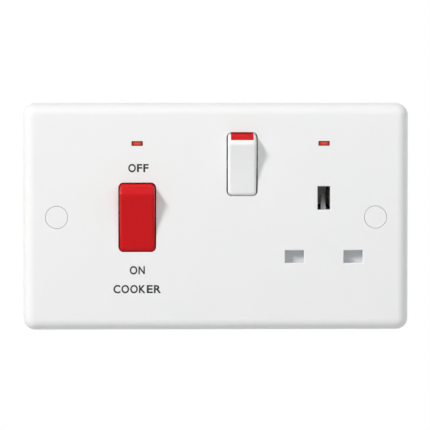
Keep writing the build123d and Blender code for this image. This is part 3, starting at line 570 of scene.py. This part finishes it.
# finish of the CAD nodes by the record's slots, the lenses and the earth clip have their own
slotFinish = {
    "white_moulding": whiteUrea,
    "red_moulding": redGloss,
    "dark_moulding": darkPhenolic,
    "grey_moulding": greyShutterPlastic,
    "nylon": naturalNylon,
    "brass": pressedBrass,
    "plated_steel": zincPlate,
    "spring_steel": springSteel,
    "resistor_coat": resistorLacquer,
    "tinned_lead": tinnedWire,
    "lamp_glass": lampMaterial(),
}
for part in frame["record"]["subparts"]:
    node, slotName = part["node"], part["material_slot"]
    if slotName in slotFinish:
        wear(frame["nodes"][node], slotFinish[slotName])
wear(frame["nodes"]["earth_contact"], oxidisedBrass)
# the neon lenses get a painted glow in the middle and a painted dark rim
for node in ("cooker_neon_lens", "socket_neon_lens"):
    low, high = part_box(node)
    window = Vector(((low.x + high.x) / 2, low.y, (low.z + high.z) / 2))
    wear(frame["nodes"][node], lensMaterial(node + "Red", window))
print("finishes on the nodes")


# letters from Blender's own plain font, each drawn out to a given width
letterShape = {
    "curveSteps": 6,
    "mergeGap": 0.0005,         # in the font's own units
    "flatAngle": 0.5,           # degrees between faces that are taken for one
    "roundLetters": "COSU",
}

# printed words round the cooker switch
lettering = {
    "capHeight": 3.05 * mm,
    "rise": 0.02 * mm,          # thickness of the print
    "root": 0.01 * mm,          # sunk into the plate
    "weight": 0.027,            # thickens the strokes
    "gap": 0.135,               # space between letters, against the cap height
    "overshoot": 1.05,          # round letters stand a little past the line
    "widths": {"C": 0.86, "E": 0.75, "F": 0.65, "K": 0.83, "N": 0.79, "O": 0.95, "R": 0.9},
    "words": [                  # text and place from the switch's pivot
        ("OFF", 0.45 * mm, 18.62 * mm),
        ("ON", -0.01 * mm, -20.04 * mm),
        ("COOKER", -0.02 * mm, -27.2 * mm),
    ],
}


def makeLetter(letter, width, height, weight):
    deselectAll()
    bpy.ops.object.text_add(location=(0, 0, 0))
    obj = bpy.context.object
    obj.data.body = letter
    obj.data.resolution_u = letterShape["curveSteps"]
    obj.data.offset = weight
    bpy.ops.object.convert(target="MESH")
    obj = bpy.context.object
    cleanMesh(obj, letterShape["mergeGap"])
    low = [min(v.co[i] for v in obj.data.vertices) for i in range(2)]
    high = [max(v.co[i] for v in obj.data.vertices) for i in range(2)]
    obj.location = (-low[0], -(low[1] + high[1]) / 2, 0)
    settle(obj)
    obj.scale = (width / (high[0] - low[0]), height / (high[1] - low[1]), 1)
    settle(obj)
    return obj


def makeWord(name, text, style):
    cap = style["capHeight"]
    letters, along = [], 0
    for letter in text:
        width = style["widths"][letter] * cap
        height = cap * style["overshoot"] if letter in letterShape["roundLetters"] else cap
        obj = makeLetter(letter, width, height, style["weight"])
        obj.location = (along, 0, 0)
        settle(obj)
        letters.append(obj)
        along += width + style["gap"] * cap
    word = joinAll(letters)
    word.name = name
    word.location = ((style["gap"] * cap - along) / 2, 0, 0)
    settle(word)
    bpy.ops.object.mode_set(mode="EDIT")
    bpy.ops.mesh.select_all(action="SELECT")
    bpy.ops.mesh.dissolve_limited(angle_limit=math.radians(letterShape["flatAngle"]))
    bpy.ops.object.mode_set(mode="OBJECT")
    solid = word.modifiers.new("thickness", "SOLIDIFY")
    solid.thickness = style["rise"] + style["root"]
    solid.offset = 1
    if "edge" in style:
        softenEdges(word, style["edge"], style["edgeSteps"])
    bakeModifiers(word)
    return word


def standWord(obj, x, y, z, fromBehind=False):
    obj.rotation_euler = (math.radians(90), 0, math.radians(180) if fromBehind else 0)
    obj.location = (x, y, z)
    settle(obj)


for text, offsetX, offsetZ in lettering["words"]:
    word = makeWord("print_" + text.lower(), text, lettering)
    pivot = tips["cooker_switch"]
    standWord(word, pivot.x + offsetX, faceY + lettering["root"], pivot.z + offsetZ)
    wear(word, printInk)
    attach(word, "base")
print("printed words", len(lettering["words"]))


# raised marks beside the rear terminals
rearMarks = {
    "capHeight": 3.4 * mm,
    "rise": 0.24 * mm,
    "root": 0.1 * mm,           # sunk into the housing
    "edge": 0.07 * mm,
    "edgeSteps": 2,
    "weight": 0.015,
    "gap": 0.22,
    "overshoot": 1.04,
    "widths": {"A": 0.86, "D": 0.82, "L": 0.62, "N": 0.78, "O": 0.92,
               "P": 0.74, "S": 0.74, "U": 0.78, "Y": 0.82},
    "besideWell": 9.6 * mm,     # from a cable hole's mouth to its letter
    "besideRow": 15.5 * mm,     # and to the name of its row
    "rowNames": {"LOAD": "line_load_cable", "SUPPLY": "line_supply_cable"},
    "earthStem": 2.6 * mm,
    "earthBars": (4.6 * mm, 3.0 * mm, 1.4 * mm),
    "barWidth": 0.6 * mm,
    "barStep": 1.15 * mm,
}


def finishMark(obj):
    wear(obj, darkPhenolic)
    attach(obj, "base")


def rearWord(name, text, x, z):
    word = makeWord(name, text, rearMarks)
    standWord(word, x, housingHigh.y - rearMarks["root"], z, fromBehind=True)
    finishMark(word)


def earthSign(x, z):
    thickness = rearMarks["rise"] + rearMarks["root"]
    middleY = housingHigh.y - rearMarks["root"] + thickness / 2
    width, stemLength = rearMarks["barWidth"], rearMarks["earthStem"]
    boxes = [((width, thickness, stemLength), stemLength / 2)]
    for row, length in enumerate(rearMarks["earthBars"]):
        boxes.append(((length, thickness, width), -row * rearMarks["barStep"]))
    bars = []
    for size, height in boxes:
        deselectAll()
        bpy.ops.mesh.primitive_cube_add(size=1, location=(x, middleY, z + height))
        bar = bpy.context.object
        bar.scale = size
        settle(bar)
        bars.append(bar)
    stem, *rows = bars
    combine(rows[0], stem, "UNION")
    sign = joinAll(rows)
    sign.name = "mark_earth"
    softenEdges(sign, rearMarks["edge"], rearMarks["edgeSteps"])
    bakeModifiers(sign)
    finishMark(sign)


def inwardFrom(place, distance):
    return place.z - distance if place.z > 0 else place.z + distance


for name, place in cables.items():
    markZ = inwardFrom(place, rearMarks["besideWell"])
    if name == "earth_cable":
        earthSign(place.x, markZ)
    else:
        rearWord("mark_" + name, "L" if name.startswith("line") else "N", place.x, markZ)
rowX = (cables["line_load_cable"].x + cables["neutral_load_cable"].x) / 2
for text, cable in rearMarks["rowNames"].items():
    rearWord("mark_" + text.lower(), text, rowX, inwardFrom(cables[cable], rearMarks["besideRow"]))
print("rear marks", len(cables) + len(rearMarks["rowNames"]))


# fixing screws with a rolled thread, pan head and driver slot
screwShape = {
    "headRadius": 3.3 * mm,
    "headHeight": 2.4 * mm,
    "headSides": 48,
    "headRound": 0.9 * mm,
    "roundSteps": 5,
    "slotWidth": 0.9 * mm,
    "slotDepth": 1.0 * mm,
    "neckRadius": 1.34 * mm,            # under the thread root
    "neckEnd": 0.4 * mm,
    "threadStart": 0,                   # inside the neck
    "crestRadius": 1.75 * mm,
    "threadDepth": 0.36 * mm,
    "pitch": 0.6 * mm,
    "profile": (0.62, 1, 0.62),         # points between two roots, as shares of the depth
    "stepsPerTurn": 28,
    "smoothAngle": 32,
    "mergeGap": 0.001 * mm,
    "cutGap": 0.0001 * mm,
    "nearFace": 0.01 * mm,              # still counts as lying on the head's face
    "seatFacing": 0.9,                  # how squarely a face looks back to be the seat
}


def makeThread(startY, endY):
    pitch, profile = screwShape["pitch"], screwShape["profile"]
    rootRadius = screwShape["crestRadius"] - screwShape["threadDepth"]
    rows = len(profile) + 1
    turns = math.ceil((endY - startY) / pitch) + 2      # one to spare at each end
    deselectAll()
    bpy.ops.mesh.primitive_grid_add(x_subdivisions=1, y_subdivisions=rows, size=pitch, location=(0, 0, 0))
    thread = bpy.context.object
    bpy.ops.object.mode_set(mode="EDIT")
    chooseVerts(thread, lambda co: co.x < 0)        # one edge of the grid is the profile
    bpy.ops.mesh.delete(type="VERT")
    bpy.ops.mesh.select_all(action="SELECT")
    bpy.ops.transform.translate(value=(rootRadius - pitch / 2, startY - pitch / 2, 0))
    bottom = startY - pitch
    for row, share in enumerate(profile, 1):
        height = bottom + row * pitch / rows
        chooseVerts(thread, lambda co: abs(co.y - height) < pitch / rows / 4)
        bpy.ops.transform.translate(value=(share * screwShape["threadDepth"], 0, 0))
    bpy.ops.object.mode_set(mode="OBJECT")
    wind = thread.modifiers.new("wind", "SCREW")
    wind.axis = "Y"
    wind.angle = math.radians(360)
    wind.screw_offset = pitch
    wind.iterations = turns
    wind.steps = wind.render_steps = screwShape["stepsPerTurn"]
    wind.use_merge_vertices = True
    wind.merge_threshold = screwShape["mergeGap"]
    bakeModifiers(thread)
    cleanMesh(thread)
    bpy.ops.object.mode_set(mode="EDIT")
    for place, normal in ((startY, (0, -1, 0)), (endY, (0, 1, 0))):
        bpy.ops.mesh.select_all(action="SELECT")
        bpy.ops.mesh.bisect(plane_co=(0, place, 0), plane_no=normal, use_fill=True, clear_outer=True,
                            threshold=screwShape["cutGap"])
    bpy.ops.object.mode_set(mode="OBJECT")
    cleanMesh(thread)
    return thread


def makeHead(frontY, seatY):
    radius = screwShape["headRadius"]
    deselectAll()
    bpy.ops.mesh.primitive_cylinder_add(vertices=screwShape["headSides"], radius=radius, depth=seatY - frontY,
                                        location=(0, (frontY + seatY) / 2, 0),
                                        rotation=(math.radians(90), 0, 0))
    head = bpy.context.object
    settle(head)
    bpy.ops.object.mode_set(mode="EDIT")
    chooseEdges(head, lambda co: co.y < frontY + screwShape["nearFace"])
    bpy.ops.mesh.bevel(offset=screwShape["headRound"], segments=screwShape["roundSteps"], affect="EDGES")
    chooseFaces(head, lambda normal: normal.y > screwShape["seatFacing"])   # the seat side carries the neck
    bpy.ops.mesh.inset(thickness=radius - screwShape["neckRadius"], depth=0)
    neckLength = screwShape["neckEnd"] - seatY
    bpy.ops.mesh.extrude_region_move(TRANSFORM_OT_translate={"value": (0, neckLength, 0)})
    bpy.ops.object.mode_set(mode="OBJECT")
    cleanMesh(head)
    deselectAll()
    bpy.ops.mesh.primitive_cube_add(size=1, location=(0, frontY, 0))
    cutter = bpy.context.object         # longer than the head, and half of it stands in front
    cutter.scale = (3 * radius, 2 * screwShape["slotDepth"], screwShape["slotWidth"])
    settle(cutter)
    combine(head, cutter, "DIFFERENCE")
    return head


def addScrews():
    screw = makeHead(screwLow.y, screwLow.y + screwShape["headHeight"])
    thread = makeThread(screwShape["threadStart"], screwHigh.y)
    combine(screw, thread, "UNION")
    reach = screwHigh.x - screwShape["headRadius"]
    pick(screw)
    bpy.ops.object.duplicate()
    twin = bpy.context.object
    screw.location.x, twin.location.x = -reach, reach
    settle(screw)
    settle(twin)
    pair = joinAll([screw, twin])
    pair.name = "threaded_fixing_screws"
    bpy.ops.object.shade_smooth_by_angle(angle=math.radians(screwShape["smoothAngle"]))
    wear(pair, zincPlate)
    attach(pair, "base")
    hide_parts("fixing_screws")
    print("threaded screws,", len(pair.data.polygons), "faces")


addScrews()


# return springs in round wire, wound to a set length
springShape = {
    "plunger": {"wire": 0.4 * mm, "radius": 1.15 * mm, "coils": 3},
    "shutter": {"wire": 0.5 * mm, "radius": 1.6 * mm, "coils": 4},
    "stemDepth": 3.35 * mm,         # from a rocker's pivot to the fixed end of its springs
    "plungerLength": 5.3 * mm,
    "wireSides": 12,
    "stepsPerCoil": 28,
    "smoothAngle": 50,
}


def addSpring(node, body, joint, shape, fixedEnd, length):
    towardsLoad = -Vector(joint["axis"])
    deselectAll()
    bpy.ops.mesh.primitive_circle_add(vertices=springShape["wireSides"], radius=shape["wire"] / 2,
                                      location=(shape["radius"], 0, shape["wire"] / 2),
                                      rotation=(math.radians(90), 0, 0))
    spring = bpy.context.object
    spring.name = "round_wire_" + node
    settle(spring)
    wind = spring.modifiers.new("wind", "SCREW")
    wind.screw_offset = (length - shape["wire"]) / shape["coils"]
    wind.iterations = shape["coils"]
    wind.steps = wind.render_steps = springShape["stepsPerCoil"]
    bakeModifiers(spring)
    bpy.ops.object.mode_set(mode="EDIT")
    bpy.ops.mesh.select_all(action="SELECT")
    bpy.ops.mesh.fill_holes(sides=0)            # the two cut ends of the wire
    bpy.ops.object.mode_set(mode="OBJECT")
    cleanMesh(spring)
    spring.rotation_euler = towardsLoad.to_track_quat("Z", "Y").to_euler()
    spring.location = fixedEnd
    settle(spring)
    bpy.ops.object.shade_smooth_by_angle(angle=math.radians(springShape["smoothAngle"]))
    wear(spring, springSteel)
    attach(spring, body)
    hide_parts(node)
    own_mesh(spring)


for body, slide in slides.items():
    node = body + "_spring"
    low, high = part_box(node)
    if body == "shutter":
        foot = Vector(((low.x + high.x) / 2, (low.y + high.y) / 2, low.z))
        addSpring(node, "base", slide, springShape["shutter"], foot, high.z - low.z)
    else:
        pivot = tips[slide["parent"]]
        stemEnd = Vector(((low.x + high.x) / 2, pivot.y, pivot.z))
        stemEnd += Vector(slide["axis"]) * springShape["stemDepth"]
        addSpring(node, slide["parent"], slide, springShape["plunger"], stemEnd, springShape["plungerLength"])
print("round wire springs", len(slides))


# camera at the photograph's view, in its 430 pixel frame
cameraView = {
    "distance": 1.5,
    "azimuth": -1.6,            # a little to the left of square on
    "elevation": 3.0,
    "pixelsPerMm": 2.645,       # scale on the plate's face
    "frameSize": 430,
    "faceCentre": (216.2, 217.2),
    "sensor": 36,
    "clipEnd": 20,
}


def addCamera():
    scale = cameraView["pixelsPerMm"] / mm
    middle = cameraView["frameSize"] / 2
    aim = Vector(((middle - cameraView["faceCentre"][0]) / scale, faceY,
                  (cameraView["faceCentre"][1] - middle) / scale))
    turn, rise = math.radians(cameraView["azimuth"]), math.radians(cameraView["elevation"])
    back = Vector((math.sin(turn) * math.cos(rise), -math.cos(turn) * math.cos(rise), math.sin(rise)))
    deselectAll()
    bpy.ops.object.camera_add(location=aim + back * cameraView["distance"])
    camera = bpy.context.object
    camera.rotation_euler = (-back).to_track_quat("-Z", "Y").to_euler()
    camera.data.sensor_width = cameraView["sensor"]
    camera.data.lens = cameraView["sensor"] * cameraView["distance"] * scale / cameraView["frameSize"]
    camera.data.clip_end = cameraView["clipEnd"]
    bpy.context.scene.camera = camera


addCamera()


# studio: a small soft lamp from the upper left, a long box light above, white all round
studio = {
    "toLamp": (-0.67, -0.51, 0.54),
    "lampDistance": 3.0,
    "lampSize": (0.6, 0.6),
    "lampPower": 71.0,
    "lampColour": (1, 0.995, 0.985),
    "boxPlace": (0, -0.28, 0.26),
    "boxSize": (0.9, 0.16),
    "boxPower": 0.5,
    "fillColour": (0.94, 0.97, 1),
    "fillFront": (0.03, 0.72),      # room on the camera's side, towards the lamp and away from it
    "fillBack": (0.04, 1.0),        # the same behind the object
    "awayRange": (-0.6, 0.6),       # where the room goes from the one to the other
    "behindRange": (-0.55, 0.1),
    "floorDrop": 0.5,
    "floorSize": 4,
    "floorColour": (0.92, 0.92, 0.92),
    "floorRoughness": 0.7,
    "floorWhite": 0.6,              # how far the floor goes to white where it is seen
}


def addLamp(place, power, size):
    deselectAll()
    bpy.ops.object.light_add(type="AREA", location=place)
    lamp = bpy.context.object
    lamp.rotation_euler = (-place).to_track_quat("-Z", "Y").to_euler()
    lamp.data.shape = "RECTANGLE"
    lamp.data.size, lamp.data.size_y = size
    lamp.data.energy = power
    lamp.data.color = studio["lampColour"]
    lamp.visible_camera = False


# one for rays that show the room itself or its mirror image, not for those that light the part
def seenDirectly(nodes, links):
    path = nodes.new("ShaderNodeLightPath")
    first = addMath(nodes, "MAXIMUM")
    second = addMath(nodes, "MAXIMUM")
    links.new(path.outputs["Is Camera Ray"], first.inputs[0])
    links.new(path.outputs["Is Glossy Ray"], first.inputs[1])
    links.new(first.outputs["Value"], second.inputs[0])
    links.new(path.outputs["Is Transmission Ray"], second.inputs[1])
    return second.outputs["Value"]


def fillStrength(nodes, links):
    coords = nodes.new("ShaderNodeTexCoord")

    def towards(direction, reach, values):
        dot = nodes.new("ShaderNodeVectorMath")
        dot.operation = "DOT_PRODUCT"
        dot.inputs[1].default_value = direction
        ramp = addRamp(nodes, *reach, *values)
        links.new(coords.outputs["Generated"], dot.inputs[0])
        links.new(dot.outputs["Value"], ramp.inputs["Value"])
        return ramp.outputs["Result"]

    toLamp = Vector(studio["toLamp"])
    awayFromLamp = (-toLamp.x, 0, -toLamp.z)
    mixer = nodes.new("ShaderNodeMix")
    links.new(towards((0, 1, 0), studio["behindRange"], (0, 1)), mixer.inputs["Factor"])
    links.new(towards(awayFromLamp, studio["awayRange"], studio["fillFront"]), mixer.inputs["A"])
    links.new(towards(awayFromLamp, studio["awayRange"], studio["fillBack"]), mixer.inputs["B"])
    return mixer.outputs["Result"]


def addWorld():
    world = bpy.data.worlds.new("whiteStudio")
    world.use_nodes = True
    bpy.context.scene.world = world
    nodes, links = world.node_tree.nodes, world.node_tree.links
    fill = nodes["Background"]
    fill.inputs["Color"].default_value = (*studio["fillColour"], 1)
    links.new(fillStrength(nodes, links), fill.inputs["Strength"])
    white = nodes.new("ShaderNodeBackground")
    white.inputs["Color"].default_value = (1, 1, 1, 1)
    white.inputs["Strength"].default_value = 1
    mixer = nodes.new("ShaderNodeMixShader")
    links.new(seenDirectly(nodes, links), mixer.inputs["Fac"])
    links.new(fill.outputs["Background"], mixer.inputs[1])
    links.new(white.outputs["Background"], mixer.inputs[2])
    links.new(mixer.outputs["Shader"], nodes["World Output"].inputs["Surface"])


def addFloor():
    deselectAll()
    bpy.ops.mesh.primitive_plane_add(size=studio["floorSize"],
                                     location=(0, 0, plateLow.z - studio["floorDrop"]))
    floor = bpy.context.object
    floor.name = "floor"
    settle(floor)
    material, nodes, links = newMaterial("paleFloor")
    shader = nodes["Principled BSDF"]
    shader.inputs["Base Color"].default_value = (*studio["floorColour"], 1)
    shader.inputs["Roughness"].default_value = studio["floorRoughness"]
    white = nodes.new("ShaderNodeEmission")
    white.inputs["Strength"].default_value = 1
    share = addMath(nodes, "MULTIPLY")
    share.inputs[1].default_value = studio["floorWhite"]
    mixer = nodes.new("ShaderNodeMixShader")
    links.new(seenDirectly(nodes, links), share.inputs[0])
    links.new(share.outputs["Value"], mixer.inputs["Fac"])
    links.new(shader.outputs["BSDF"], mixer.inputs[1])
    links.new(white.outputs["Emission"], mixer.inputs[2])
    links.new(mixer.outputs["Shader"], nodes["Material Output"].inputs["Surface"])
    wear(floor, material)


lampPlace = Vector(studio["toLamp"]).normalized() * studio["lampDistance"]
addLamp(lampPlace, studio["lampPower"], studio["lampSize"])
addLamp(Vector(studio["boxPlace"]), studio["boxPower"], studio["boxSize"])
addWorld()
addFloor()
bpy.context.scene.view_settings.view_transform = "Standard"
print("camera, lamp, white world and floor")
